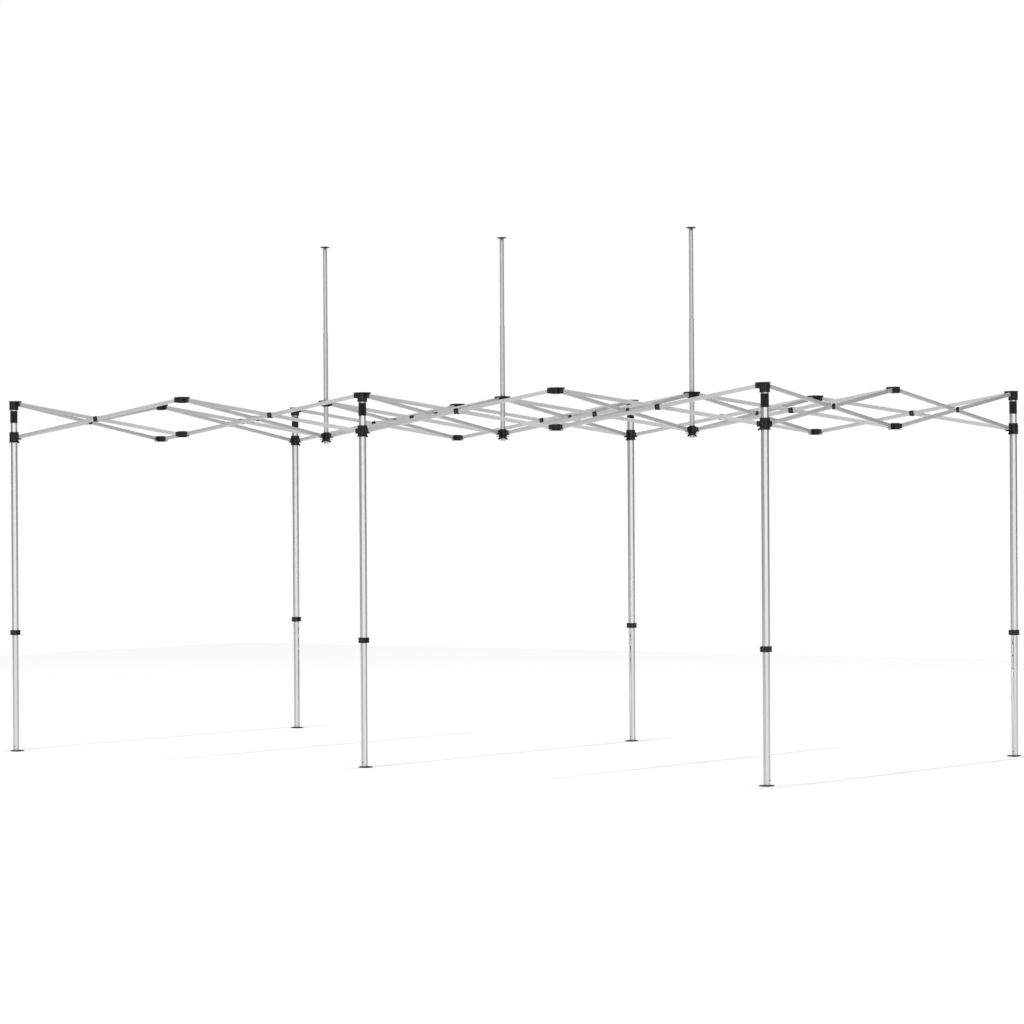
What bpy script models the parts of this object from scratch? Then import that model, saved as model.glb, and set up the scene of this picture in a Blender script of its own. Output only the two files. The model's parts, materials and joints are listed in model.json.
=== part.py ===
"""Pop up canopy frame, 3 m x 6 m, without its cover: six telescoping legs, three peak poles and 22 scissor pairs.
All lengths are in metres. X runs along the long side, Y away from the front, Z up from the floor."""

import math

import bmesh
import bpy
from mathutils import Matrix, Vector

for thing in list(bpy.data.objects):
    bpy.data.objects.remove(thing, do_unlink=True)

# ---- sizes -------------------------------------------------------------
BAY = 1.5  # grid spacing, leg axis to connector axis
PIN_OUT = 0.045  # pin axis from the leg or connector axis
PIN_UP, PIN_LOW = 2.345, 2.125  # heights of the upper and lower pins, open
BAR_W, BAR_H, BAR_WALL = 0.012, 0.024, 0.0012  # scissor bar section
BAR_END = 0.010  # bar beyond its end pins
BAR_SIDE = 0.0065  # the two bars of a pair lie this far each side of the grid line
PIN_R, HOLE_R = 0.003, 0.0036
LEG_AF, LEG_WALL = 0.044, 0.0015  # octagonal upper leg, across flats
FOOT_AF = 0.040  # octagonal lower leg
COLLAR_LOW, COLLAR_TOP = 0.785, 0.819
HEAD_LOW, HEAD_TOP = 2.312, 2.367  # top brackets
SLIDER_LOW, SLIDER_TOP = 2.090, 2.158
BODY = 0.026  # half width of brackets on the legs
HUB = 0.024  # half width of hubs on the peak poles and of side connectors
POLE_R, POLE_IN = 0.016, 0.0146  # lower peak tube
MAST_R, MAST_IN = 0.0138, 0.0124  # upper peak tube
POLE_TOP, MAST_LOW, MAST_TOP = 2.83, 2.48, 3.421

Z = Vector((0, 0, 1))


# ---- solids ------------------------------------------------------------
def mesh_object(name, bm):
    bmesh.ops.recalc_face_normals(bm, faces=bm.faces)
    data = bpy.data.meshes.new(name)
    bm.to_mesh(data)
    bm.free()
    made = bpy.data.objects.new(name, data)
    bpy.context.scene.collection.objects.link(made)
    return made


def prism(points, low, high):
    """An upright prism on a polygon in XY."""
    bm = bmesh.new()
    rings = [[bm.verts.new((x, y, z)) for x, y in points] for z in (low, high)]
    bm.faces.new(rings[0])
    bm.faces.new(rings[1])
    n = len(points)
    for k in range(n):
        bm.faces.new((rings[0][k], rings[0][(k + 1) % n], rings[1][(k + 1) % n], rings[1][k]))
    return mesh_object("solid", bm)


def polygon(sides, radius, turn=0.0):
    return [
        (radius * math.cos(turn + 2 * math.pi * k / sides), radius * math.sin(turn + 2 * math.pi * k / sides))
        for k in range(sides)
    ]


def octagon(across):
    return polygon(8, across / 2 / math.cos(math.pi / 8), math.pi / 8)


def box(x0, x1, y0, y1, z0, z1):
    return prism([(x0, y0), (x1, y0), (x1, y1), (x0, y1)], z0, z1)


def rod(start, end, radius, sides=6):
    made = prism(polygon(sides, radius, math.pi / sides + 0.07), 0, (end - start).length)
    made.data.transform(Matrix.Translation(start) @ (end - start).to_track_quat("Z", "Y").to_matrix().to_4x4())
    return made


def combine(first, others, operation):
    """Folds every other solid into the first."""
    for other in others:
        cut = first.modifiers.new("cut", "BOOLEAN")
        cut.operation, cut.solver, cut.object = operation, "MANIFOLD", other
        bpy.context.view_layer.update()
        graph = bpy.context.evaluated_depsgraph_get()
        data = bpy.data.meshes.new_from_object(first.evaluated_get(graph))
        first.modifiers.clear()
        first.data = data
        bpy.data.objects.remove(other, do_unlink=True)
    return first


def fuse(first, *others):
    return combine(first, others, "UNION")


def carve(first, *others):
    return combine(first, others, "DIFFERENCE")


def copy_of(thing, matrix):
    made = bpy.data.objects.new(thing.name, thing.data.copy())
    made.data.transform(matrix)
    bpy.context.scene.collection.objects.link(made)
    return made


def keep(name, thing):
    thing.name = name
    thing.data.name = name
    return thing


# ---- where things stand -------------------------------------------------
TURNS = {"+x": 0.0, "+y": math.pi / 2, "-x": math.pi, "-y": -math.pi / 2}


def place(i, j, way="+x"):
    """From a piece drawn at the origin and pointing along X to grid place (i, j)."""
    return Matrix.Translation(((i - 2) * BAY, (j - 1) * BAY, 0)) @ Matrix.Rotation(TURNS[way], 4, "Z")


def arm(way, upper, start):
    """Two cheeks with a pin between them, which hold one bar end."""
    z = PIN_UP if upper else PIN_LOW
    side = BAR_SIDE if upper else -BAR_SIDE
    parts = []
    for low in (side - 0.0098, side + 0.0066):
        parts.append(box(start, PIN_OUT + 0.011, low, low + 0.0032, z - 0.013, z + 0.013))
    parts.append(
        rod(Vector((PIN_OUT, side - 0.0085, z)), Vector((PIN_OUT, side + 0.0085, z)), PIN_R)
    )
    for part in parts:
        part.data.transform(Matrix.Rotation(TURNS[way], 4, "Z"))
    return parts


# ---- scissor bars --------------------------------------------------------
SPAN = BAY - 2 * PIN_OUT
LENGTH = math.hypot(SPAN, PIN_UP - PIN_LOW)
LEAN = math.atan2(PIN_UP - PIN_LOW, SPAN)


def bar(falling, holes):
    """A bar from pin to pin of the pair that starts at the origin and runs along X. holes: bored pin places, 0 to 1 along it."""
    h, w = BAR_H / 2, BAR_W / 2
    bm = bmesh.new()
    loops = []
    for x in (-BAR_END, LENGTH + BAR_END):
        for a, b in ((w, h), (w - BAR_WALL, h - BAR_WALL)):
            loops.append([bm.verts.new(p) for p in ((x, -a, -b), (x, a, -b), (x, a, b), (x, -a, b))])
    for k in range(4):
        n = (k + 1) % 4
        for p, q in ((loops[0], loops[2]), (loops[1], loops[3]), (loops[0], loops[1]), (loops[2], loops[3])):
            bm.faces.new((p[k], p[n], q[n], q[k]))
    made = mesh_object("bar", bm)
    bores = [
        rod(Vector((LENGTH * t, -0.01, 0)), Vector((LENGTH * t, 0.01, 0)), HOLE_R / math.cos(math.pi / 6)) for t in holes
    ]
    carve(made, *bores)
    side = BAR_SIDE if falling else -BAR_SIDE
    start = Vector((PIN_OUT, side, PIN_UP if falling else PIN_LOW))
    made.data.transform(Matrix.Translation(start) @ Matrix.Rotation(LEAN if falling else -LEAN, 4, "Y"))
    return made


def solid_arm(way, upper):
    """One block in place of cheeks and pin, for a bar end that is joined to its hub."""
    z = PIN_UP if upper else PIN_LOW
    side = BAR_SIDE if upper else -BAR_SIDE
    made = box(HUB - 0.005, PIN_OUT + 0.011, side - 0.0098, side + 0.0098, z - 0.013, z + 0.013)
    made.data.transform(Matrix.Rotation(TURNS[way], 4, "Z"))
    return made


def crossing_pin():
    """The pivot where a pair crosses, with its two square blocks; it belongs to the rising bar."""
    x, z = BAY / 2, (PIN_UP + PIN_LOW) / 2
    pin = rod(Vector((x, -0.0145, z)), Vector((x, 0.0150, z)), PIN_R)
    blocks = []
    for y0, y1 in ((-0.0165, -0.0120), (0.0132, 0.0170)):
        block = box(-0.015, 0.015, y0, y1, -0.013, 0.013)
        block.data.transform(Matrix.Translation((x, 0, z)) @ Matrix.Rotation(-LEAN, 4, "Y"))
        blocks.append(block)
    return [pin] + blocks


falling_bar = bar(True, (0, 0.5, 1))
rising_bar = fuse(bar(False, (0, 1)), *crossing_pin())

PAIRS = {}
for k in range(4):
    PAIRS["front_%d" % (k + 1)] = (k, 0, "+x")
    PAIRS["rear_%d" % (k + 1)] = (k, 2, "+x")
for k in range(2):
    PAIRS["left_%d" % (k + 1)] = (0, k, "+y")
    PAIRS["right_%d" % (k + 1)] = (4, k, "+y")
for name, (i, j, way) in PAIRS.items():
    keep(name + "_falling_bar", copy_of(falling_bar, place(i, j, way)))
    keep(name + "_rising_bar", copy_of(rising_bar, place(i, j, way)))

# ---- legs ----------------------------------------------------------------
LEGS = {
    "front_left": (0, 0, ("+x", "+y")),
    "front_middle": (2, 0, ("-x", "+x", "+y")),
    "front_right": (4, 0, ("-x", "+y")),
    "rear_left": (0, 2, ("+x", "-y")),
    "rear_middle": (2, 2, ("-x", "+x", "-y")),
    "rear_right": (4, 2, ("-x", "-y")),
}


def square(half, z0, z1):
    return box(-half, half, -half, half, z0, z1)


for name, (i, j, ways) in LEGS.items():
    inward_x = 1 if i < 2 or (i == 2 and j == 0) else -1
    inward_y = 1 if j == 0 else -1
    # Upper leg: octagonal tube, top bracket with arms and lip, strap band, height-lock collar with its lever.
    leg = prism(octagon(LEG_AF), COLLAR_LOW + 0.002, HEAD_LOW + 0.010)
    band = prism(octagon(0.0472), 2.222, 2.299)
    collar = square(BODY, COLLAR_LOW, COLLAR_TOP)
    lever = box(BODY - 0.002, BODY + 0.014, -0.008, 0.008, COLLAR_LOW + 0.004, COLLAR_TOP - 0.003)
    lever.data.transform(Matrix.Rotation(0 if inward_x > 0 else math.pi, 4, "Z"))
    head = square(BODY, HEAD_LOW, HEAD_TOP - 0.001)
    lip = square(0.0295, HEAD_TOP - 0.0045, HEAD_TOP)
    arms = [part for way in ways for part in arm(way, True, BODY - 0.006)]
    fuse(leg, band, collar, lever, head, lip, *arms)
    carve(leg, prism(octagon(LEG_AF - 2 * LEG_WALL), COLLAR_LOW - 0.1, HEAD_LOW - 0.002))
    leg.data.transform(place(i, j))
    keep(name + "_upper_leg", leg)
    # Lower leg: octagonal tube with height holes on its inner side, on a foot plate.
    foot = prism(octagon(FOOT_AF), 0.003, 1.05)
    plate = box(-0.030 * 1.0, 0.040, -0.030, 0.040, 0.0, 0.005)
    plate.data.transform(Matrix.Diagonal((inward_x, inward_y, 1, 1)))
    if inward_x * inward_y < 0:
        plate.data.flip_normals()
    carve(foot, prism(octagon(FOOT_AF - 2 * LEG_WALL), 0.012, 1.2))
    holes = [
        rod(Vector((0, inward_y * 0.012, z)), Vector((0, inward_y * 0.03, z)), 0.0045) for z in (0.57, 0.653, 0.735)
    ]
    carve(foot, *holes)
    fuse(foot, plate)
    foot.data.transform(place(i, j))
    keep(name + "_lower_leg", foot)
    # Slider: sleeve with arms, bottom lip and release trigger.
    sleeve = square(BODY, SLIDER_LOW, SLIDER_TOP)
    rim = square(0.0295, SLIDER_LOW - 0.003, SLIDER_LOW + 0.003)
    trigger = box(0.010, 0.034, -0.007, 0.007, SLIDER_LOW - 0.020, SLIDER_LOW)
    trigger.data.transform(Matrix.Rotation(TURNS[ways[-1]], 4, "Z") @ Matrix.Translation((0.0135, 0, 0)))
    fuse(sleeve, rim, *[part for way in ways for part in arm(way, False, BODY - 0.003)])
    carve(sleeve, prism(octagon(LEG_AF + 0.0011), 2.0, 2.3))
    fuse(sleeve, trigger)
    sleeve.data.transform(place(i, j))
    keep(name + "_slider", sleeve)

# ---- connectors along the sides -------------------------------------------
SIDES = {
    "front_left_bay": (1, 0, ("-x", "+x", "+y")),
    "front_right_bay": (3, 0, ("-x", "+x", "+y")),
    "rear_left_bay": (1, 2, ("-x", "+x", "-y")),
    "rear_right_bay": (3, 2, ("-x", "+x", "-y")),
    "left_side": (0, 1, ("-y", "+y", "+x")),
    "right_side": (4, 1, ("-y", "+y", "-x")),
}
for name, (i, j, ways) in SIDES.items():
    for upper in (True, False):
        if upper:
            body = square(HUB, HEAD_LOW + 0.006, HEAD_TOP - 0.001)
            edge = square(0.0285, HEAD_TOP - 0.0045, HEAD_TOP)
        else:
            body = square(HUB, SLIDER_LOW + 0.006, SLIDER_TOP - 0.010)
            edge = square(0.0285, SLIDER_LOW, SLIDER_LOW + 0.007)
        fuse(body, edge, *[part for way in ways for part in arm(way, upper, HUB - 0.005)])
        body.data.transform(place(i, j))
        keep(name + ("_upper_connector" if upper else "_lower_connector"), body)

# ---- inner scissors and their hubs ------------------------------------------
WAYS = ("+x", "+y", "-x", "-y")
INNER = {
    "left": (1, [(1, 0, "+y"), (1, 1, "+y"), (0, 1, "+x"), (1, 1, "+x")]),
    "middle": (2, [(2, 0, "+y"), (2, 1, "+y")]),
    "right": (3, [(3, 0, "+y"), (3, 1, "+y"), (2, 1, "+x"), (3, 1, "+x")]),
}
for name, (hub, pairs) in INNER.items():
    upper = square(HUB, HEAD_LOW, HEAD_TOP - 0.001)
    cover = square(0.0285, HEAD_TOP - 0.0045, HEAD_TOP)
    lower = square(HUB, SLIDER_LOW, SLIDER_TOP)
    skirt = square(0.0285, SLIDER_LOW - 0.003, SLIDER_LOW + 0.003)
    tube = prism(polygon(12, POLE_R, math.pi / 12), 2.072, POLE_TOP)
    body = fuse(tube, upper, cover, lower, skirt)
    for way in WAYS:
        for level in (True, False):
            if name == "middle" and way in ("+x", "-x"):
                fuse(body, *arm(way, level, HUB - 0.005))
            else:
                fuse(body, solid_arm(way, level))
    carve(body, prism(polygon(12, POLE_IN, math.pi / 12), 1.9, 3.0))
    body.data.transform(place(hub, 1))
    for i, j, way in pairs:
        # The bar end at this set's own hub is joined to it; the other end is bored for its neighbour's pin.
        starts_here = (i, j) == (hub, 1)
        bored = (1,) if starts_here else (0,)
        falls = fuse(bar(True, bored), bar(False, bored), *crossing_pin())
        falls.data.transform(place(i, j, way))
        fuse(body, falls)
    keep(name + "_inner_scissors", body)
    # Peak pole: the upper tube with its cap, which slides inside the lower tube.
    mast = prism(polygon(12, MAST_R, math.pi / 12), MAST_LOW, MAST_TOP - 0.010)
    carve(mast, prism(polygon(12, MAST_IN, math.pi / 12), MAST_LOW - 0.1, MAST_TOP - 0.020))
    collar = prism(polygon(16, 0.020), MAST_TOP - 0.024, MAST_TOP - 0.012)
    cap = prism(polygon(16, 0.033), MAST_TOP - 0.015, MAST_TOP)
    fuse(mast, collar, cap)
    mast.data.transform(place(hub, 1))
    keep(name + "_peak_pole", mast)

for thing in (falling_bar, rising_bar):
    bpy.data.objects.remove(thing, do_unlink=True)
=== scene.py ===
import json
import math

import bmesh
import bpy
from mathutils import Matrix, Vector


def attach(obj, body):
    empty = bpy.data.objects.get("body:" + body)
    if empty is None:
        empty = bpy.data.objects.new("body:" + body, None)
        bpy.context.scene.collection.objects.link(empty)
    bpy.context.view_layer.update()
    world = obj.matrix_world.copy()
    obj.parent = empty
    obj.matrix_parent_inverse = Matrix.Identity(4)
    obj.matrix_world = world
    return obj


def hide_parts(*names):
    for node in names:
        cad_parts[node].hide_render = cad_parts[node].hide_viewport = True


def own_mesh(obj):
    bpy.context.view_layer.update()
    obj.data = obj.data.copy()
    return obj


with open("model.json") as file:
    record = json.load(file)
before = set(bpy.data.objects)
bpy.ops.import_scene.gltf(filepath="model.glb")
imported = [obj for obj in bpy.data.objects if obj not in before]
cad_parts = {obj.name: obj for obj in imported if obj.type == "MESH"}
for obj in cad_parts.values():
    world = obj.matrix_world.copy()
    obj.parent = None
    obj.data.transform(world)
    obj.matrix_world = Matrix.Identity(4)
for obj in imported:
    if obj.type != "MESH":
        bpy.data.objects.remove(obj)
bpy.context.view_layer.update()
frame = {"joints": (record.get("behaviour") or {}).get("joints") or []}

bl_info = {
    "name": "Pop Up Canopy Frame",
    "version": (1, 0, 0),
    "blender": (4, 5, 0),
    "location": "View3D > Sidebar > Canopy",
    "description": "Builds the finished pieces of a folding canopy frame round its packed model",
    "category": "Add Mesh",
}

# ---- the frame's own measures, in metres --------------------------------
BAY = 1.5
PIN_OUT = 0.045
PIN_UP, PIN_LOW = 2.345, 2.125
BAR_SIDE = 0.0065
BAR_END = 0.010
HEAD_LOW, HEAD_TOP = 2.312, 2.367
ROOF = (HEAD_TOP - 0.0040, HEAD_TOP - 0.0006)  # the thin roof over a bracket's arms
SLIDER_LOW, SLIDER_TOP = 2.087, 2.158
STRAP_LOW, STRAP_TOP = 2.219, 2.300
COLLAR_LOW, COLLAR_TOP = 0.785, 0.819
HOLE_HEIGHTS = (0.57, 0.653, 0.735)
POLE_LOW, POLE_TOP = 2.072, 2.83
MAST_LOW, MAST_TOP = 2.48, 3.421
SPAN = BAY - 2 * PIN_OUT
BAR_LENGTH = math.hypot(SPAN, PIN_UP - PIN_LOW)
LEAN = math.atan2(PIN_UP - PIN_LOW, SPAN)

GATHER = next(j for j in frame["joints"] if j["name"] == "left_inner_gather")["range_m"][1]
SENSOR, LENS = 36, 136.76835937  # millimetres
CAMERA_PLACE = (15.22, -20.79, 1.73)
STRIP_HEIGHT, STRIP_LENGTH = 60, 34.0

LEGS = {
    "front_left": (0, 0),
    "front_middle": (2, 0),
    "front_right": (4, 0),
    "rear_left": (0, 2),
    "rear_middle": (2, 2),
    "rear_right": (4, 2),
}
SIDES = {
    "front_left_bay": (1, 0),
    "front_right_bay": (3, 0),
    "rear_left_bay": (1, 2),
    "rear_right_bay": (3, 2),
    "left_side": (0, 1),
    "right_side": (4, 1),
}
POLES = {"left": 1, "middle": 2, "right": 3}
# Quarter turns from the drawn bracket to each place.
# Corners are drawn with arms at 0 and 90 degrees, tees at 0, 90 and 180.
TURNS = {
    "front_left": 0,
    "front_right": 1,
    "rear_right": 2,
    "rear_left": 3,
    "front_middle": 0,
    "rear_middle": 2,
    "front_left_bay": 0,
    "front_right_bay": 0,
    "rear_left_bay": 2,
    "rear_right_bay": 2,
    "left_side": 3,
    "right_side": 1,
}
CORNERS = ("front_left", "front_right", "rear_left", "rear_right")


def grid(i, j):
    return Vector(((i - 2) * BAY, (j - 1) * BAY, 0))


def at(i, j, quarter=0):
    return Matrix.Translation(grid(i, j)) @ quarters_about_z(quarter)


def quarters_about_z(quarter):
    return Matrix.Rotation(quarter * math.pi / 2, 4, "Z")


def outward(x, y, z):
    """A frame at this point whose Z stands out along +X."""
    return Matrix.Translation((x, y, z)) @ Matrix.Rotation(math.pi / 2, 4, "Y")


def facing(x, y, z, out):
    """A frame at this point whose Z stands out along +Y or -Y."""
    return Matrix.Translation((x, y, z)) @ Matrix.Rotation(math.radians(-90 * out), 4, "X")


# ---- mesh helpers ---------------------------------------------------------
class Shape:
    """Collects solids in one mesh. Each solid takes a material number."""

    def __init__(self):
        self.bm = bmesh.new()

    def rings(self, loops, material=0, close_start=True, close_end=True, matrix=None):
        """Skins a list of equal loops of points, and caps the first and last."""
        m = matrix or Matrix.Identity(4)
        made = [[self.bm.verts.new(m @ Vector(p)) for p in loop] for loop in loops]
        faces = []
        n = len(loops[0])
        for a, b in zip(made, made[1:]):
            for k in range(n):
                faces.append(self.bm.faces.new((a[k], a[(k + 1) % n], b[(k + 1) % n], b[k])))
        if close_start:
            faces.append(self.bm.faces.new(made[0][::-1]))
        if close_end:
            faces.append(self.bm.faces.new(made[-1]))
        for face in faces:
            face.material_index = material
            face.smooth = True
        return made

    def prism(self, outline, low, high, chamfer=0.0008, material=0, matrix=None):
        """A solid on an outline in XY, with small chamfers at both ends."""
        cx = (max(x for x, y in outline) + min(x for x, y in outline)) / 2
        cy = (max(y for x, y in outline) + min(y for x, y in outline)) / 2
        wide = max(max(x for x, y in outline) - cx, 1e-6)
        tall = max(max(y for x, y in outline) - cy, 1e-6)
        inner = [
            (cx + (x - cx) * (1 - chamfer / wide), cy + (y - cy) * (1 - chamfer / tall)) for x, y in outline
        ]
        loops = [
            [(x, y, low) for x, y in inner],
            [(x, y, low + chamfer) for x, y in outline],
            [(x, y, high - chamfer) for x, y in outline],
            [(x, y, high) for x, y in inner],
        ]
        self.rings(loops, material, matrix=matrix)

    def tube(self, outer, inner, low, high, chamfer=0.0004, material=0, matrix=None):
        """A tube between two outlines of equal count, open at both ends."""
        grow = 1 - chamfer / max(x for x, y in outer)
        loops = [
            [(x, y, low + 0.004) for x, y in inner],
            [(x, y, low) for x, y in inner],
            [(x * grow, y * grow, low) for x, y in outer],
            [(x, y, low + chamfer) for x, y in outer],
            [(x, y, high - chamfer) for x, y in outer],
            [(x * grow, y * grow, high) for x, y in outer],
            [(x, y, high) for x, y in inner],
            [(x, y, high - 0.004) for x, y in inner],
        ]
        made = self.rings(loops, material, close_start=False, close_end=False, matrix=matrix)
        n = len(outer)
        for k in range(n):
            after = (k + 1) % n
            face = self.bm.faces.new((made[-1][k], made[-1][after], made[0][after], made[0][k]))
            face.material_index = material
            face.smooth = True

    def turned(self, profile, sides=24, material=0, matrix=None):
        """A solid turned about Z from (radius, height) points."""
        loops = [
            [
                (r * math.cos(2 * math.pi * k / sides), r * math.sin(2 * math.pi * k / sides), z)
                for k in range(sides)
            ]
            for r, z in profile
        ]
        self.rings(loops, material, matrix=matrix)

    def mesh(self, name, materials, smooth_angle=35):
        bmesh.ops.recalc_face_normals(self.bm, faces=self.bm.faces)
        data = bpy.data.meshes.new(name)
        self.bm.to_mesh(data)
        self.bm.free()
        for material in materials:
            data.materials.append(material)
        data.set_sharp_from_angle(angle=math.radians(smooth_angle))
        return data


def rounded(half_x, half_y, radius, steps=3, centre=(0.0, 0.0)):
    """A rectangle outline with rounded corners, anticlockwise."""
    points = []
    for sx, sy, start in ((1, 1, 0), (-1, 1, 90), (-1, -1, 180), (1, -1, 270)):
        for k in range(steps + 1):
            a = math.radians(start + 90 * k / steps)
            points.append(
                (
                    centre[0] + sx * (half_x - radius) + radius * math.cos(a),
                    centre[1] + sy * (half_y - radius) + radius * math.sin(a),
                )
            )
    return points


def octagon(across, radius, steps=3):
    """An octagon outline, flat sides facing X and Y, with rounded corners."""
    points = []
    corner = (across / 2 - radius) / math.cos(math.pi / 8)
    for c in range(8):
        mid = math.pi / 8 + c * math.pi / 4
        cx, cy = corner * math.cos(mid), corner * math.sin(mid)
        for k in range(steps + 1):
            a = mid - math.pi / 8 + math.pi / 4 * k / steps
            points.append((cx + radius * math.cos(a), cy + radius * math.sin(a)))
    return points


def resampled(outline, count):
    """The outline's points picked evenly, so that it has this many."""
    return [outline[round(k * len(outline) / count) % len(outline)] for k in range(count)]


def circle(radius, sides=24, turn=0.0):
    return [
        (radius * math.cos(turn + 2 * math.pi * k / sides), radius * math.sin(turn + 2 * math.pi * k / sides))
        for k in range(sides)
    ]


def sideways(x, y, z):
    """Lays a drawn solid down from this point: its Z runs along +Y, its X stays, its Y becomes height."""
    return Matrix.Translation((x, y, z)) @ Matrix(((1, 0, 0, 0), (0, 0, 1, 0), (0, 1, 0, 0), (0, 0, 0, 1)))


def show(name, data, matrix, body, slot, *replaced):
    """Places a mesh as a piece of the canopy and lets it move with its body."""
    made = bpy.data.objects.new(name, data)
    bpy.context.scene.collection.objects.link(made)
    made.matrix_world = matrix
    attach(made, body)
    if replaced:
        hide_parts(*replaced)
    return made


def shift(piece):
    """Gives a piece a copy of its mesh, of its own."""
    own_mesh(piece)


# ---- materials --------------------------------------------------------------
def new_group(name, inputs, outputs):
    group = bpy.data.node_groups.new(name, "ShaderNodeTree")
    for label, kind, value in inputs:
        socket = group.interface.new_socket(name=label, in_out="INPUT", socket_type=kind)
        if value is not None:
            socket.default_value = value
    for label, kind in outputs:
        group.interface.new_socket(name=label, in_out="OUTPUT", socket_type=kind)
    return group, group.nodes.new("NodeGroupInput"), group.nodes.new("NodeGroupOutput")


def drawn_lines_group():
    """Fine lines that a die leaves along an extrusion, with a slow drift of tone."""
    group, given, out = new_group(
        "Drawn lines",
        [
            ("Vector", "NodeSocketVector", None),
            ("Roughness", "NodeSocketFloat", 0.35),
            ("Spread", "NodeSocketFloat", 0.1),
            ("Tone", "NodeSocketFloat", 0.06),
        ],
        [("Roughness", "NodeSocketFloat"), ("Shade", "NodeSocketFloat"), ("Height", "NodeSocketFloat")],
    )
    nodes, links = group.nodes, group.links
    lines = nodes.new("ShaderNodeTexNoise")
    lines.inputs["Scale"].default_value = 1.0
    lines.inputs["Detail"].default_value = 3.0
    links.new(given.outputs["Vector"], lines.inputs["Vector"])
    clouds = nodes.new("ShaderNodeTexNoise")
    clouds.inputs["Scale"].default_value = 0.02
    clouds.inputs["Detail"].default_value = 2.0
    links.new(given.outputs["Vector"], clouds.inputs["Vector"])
    centred = nodes.new("ShaderNodeMath")
    centred.operation = "SUBTRACT"
    centred.inputs[1].default_value = 0.5
    links.new(lines.outputs["Fac"], centred.inputs[0])
    rough = nodes.new("ShaderNodeMath")
    rough.operation = "MULTIPLY_ADD"
    links.new(centred.outputs[0], rough.inputs[0])
    links.new(given.outputs["Spread"], rough.inputs[1])
    links.new(given.outputs["Roughness"], rough.inputs[2])
    mixed = nodes.new("ShaderNodeMath")
    mixed.operation = "ADD"
    links.new(lines.outputs["Fac"], mixed.inputs[0])
    links.new(clouds.outputs["Fac"], mixed.inputs[1])
    low = nodes.new("ShaderNodeMath")
    low.operation = "SUBTRACT"
    low.inputs[1].default_value = 1.0
    links.new(mixed.outputs[0], low.inputs[0])
    shade = nodes.new("ShaderNodeMath")
    shade.operation = "MULTIPLY_ADD"
    shade.inputs[2].default_value = 1.0
    links.new(low.outputs[0], shade.inputs[0])
    links.new(given.outputs["Tone"], shade.inputs[1])
    links.new(rough.outputs[0], out.inputs["Roughness"])
    links.new(shade.outputs[0], out.inputs["Shade"])
    links.new(lines.outputs["Fac"], out.inputs["Height"])
    return group


def scuffs_group():
    """Sparse rubbed patches and scratches, as a mask."""
    group, given, out = new_group(
        "Scuffs",
        [
            ("Vector", "NodeSocketVector", None),
            ("Scale", "NodeSocketFloat", 30.0),
            ("Amount", "NodeSocketFloat", 0.3),
        ],
        [("Mask", "NodeSocketFloat")],
    )
    nodes, links = group.nodes, group.links
    patches = nodes.new("ShaderNodeTexNoise")
    patches.inputs["Detail"].default_value = 6.0
    patches.inputs["Roughness"].default_value = 0.65
    links.new(given.outputs["Vector"], patches.inputs["Vector"])
    links.new(given.outputs["Scale"], patches.inputs["Scale"])
    ramp = nodes.new("ShaderNodeMapRange")
    ramp.inputs["From Min"].default_value = 0.55
    ramp.inputs["From Max"].default_value = 0.75
    links.new(patches.outputs["Fac"], ramp.inputs["Value"])
    scaled = nodes.new("ShaderNodeMath")
    scaled.operation = "MULTIPLY"
    links.new(ramp.outputs["Result"], scaled.inputs[0])
    links.new(given.outputs["Amount"], scaled.inputs[1])
    links.new(scaled.outputs[0], out.inputs["Mask"])
    return group


def grain_group():
    """The fine sparkle of a moulded or cast surface: a height and a slight change of roughness."""
    group, given, out = new_group(
        "Moulded grain",
        [
            ("Vector", "NodeSocketVector", None),
            ("Scale", "NodeSocketFloat", 900.0),
            ("Roughness", "NodeSocketFloat", 0.5),
            ("Spread", "NodeSocketFloat", 0.15),
        ],
        [("Roughness", "NodeSocketFloat"), ("Height", "NodeSocketFloat")],
    )
    nodes, links = group.nodes, group.links
    cells = nodes.new("ShaderNodeTexVoronoi")
    links.new(given.outputs["Vector"], cells.inputs["Vector"])
    links.new(given.outputs["Scale"], cells.inputs["Scale"])
    centred = nodes.new("ShaderNodeMath")
    centred.operation = "SUBTRACT"
    centred.inputs[1].default_value = 0.4
    links.new(cells.outputs["Distance"], centred.inputs[0])
    rough = nodes.new("ShaderNodeMath")
    rough.operation = "MULTIPLY_ADD"
    links.new(centred.outputs[0], rough.inputs[0])
    links.new(given.outputs["Spread"], rough.inputs[1])
    links.new(given.outputs["Roughness"], rough.inputs[2])
    links.new(rough.outputs[0], out.inputs["Roughness"])
    links.new(cells.outputs["Distance"], out.inputs["Height"])
    return group


def new_material(name):
    material = bpy.data.materials.new(name)
    material.use_nodes = True
    nodes = material.node_tree.nodes
    return material, nodes, material.node_tree.links, nodes["Principled BSDF"]


def place_group(nodes, group, **values):
    node = nodes.new("ShaderNodeGroup")
    node.node_tree = group
    for label, value in values.items():
        node.inputs[label].default_value = value
    return node


def own_coordinates(nodes, links, stretch=(1, 1, 1)):
    place = nodes.new("ShaderNodeTexCoord")
    mapping = nodes.new("ShaderNodeMapping")
    mapping.inputs["Scale"].default_value = stretch
    links.new(place.outputs["Object"], mapping.inputs["Vector"])
    return mapping.outputs["Vector"]


def add_bump(nodes, links, shader, height, distance, strength=1.0):
    bump = nodes.new("ShaderNodeBump")
    bump.inputs["Distance"].default_value = distance
    bump.inputs["Strength"].default_value = strength
    links.new(height, bump.inputs["Height"])
    links.new(bump.outputs["Normal"], shader.inputs["Normal"])


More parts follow.
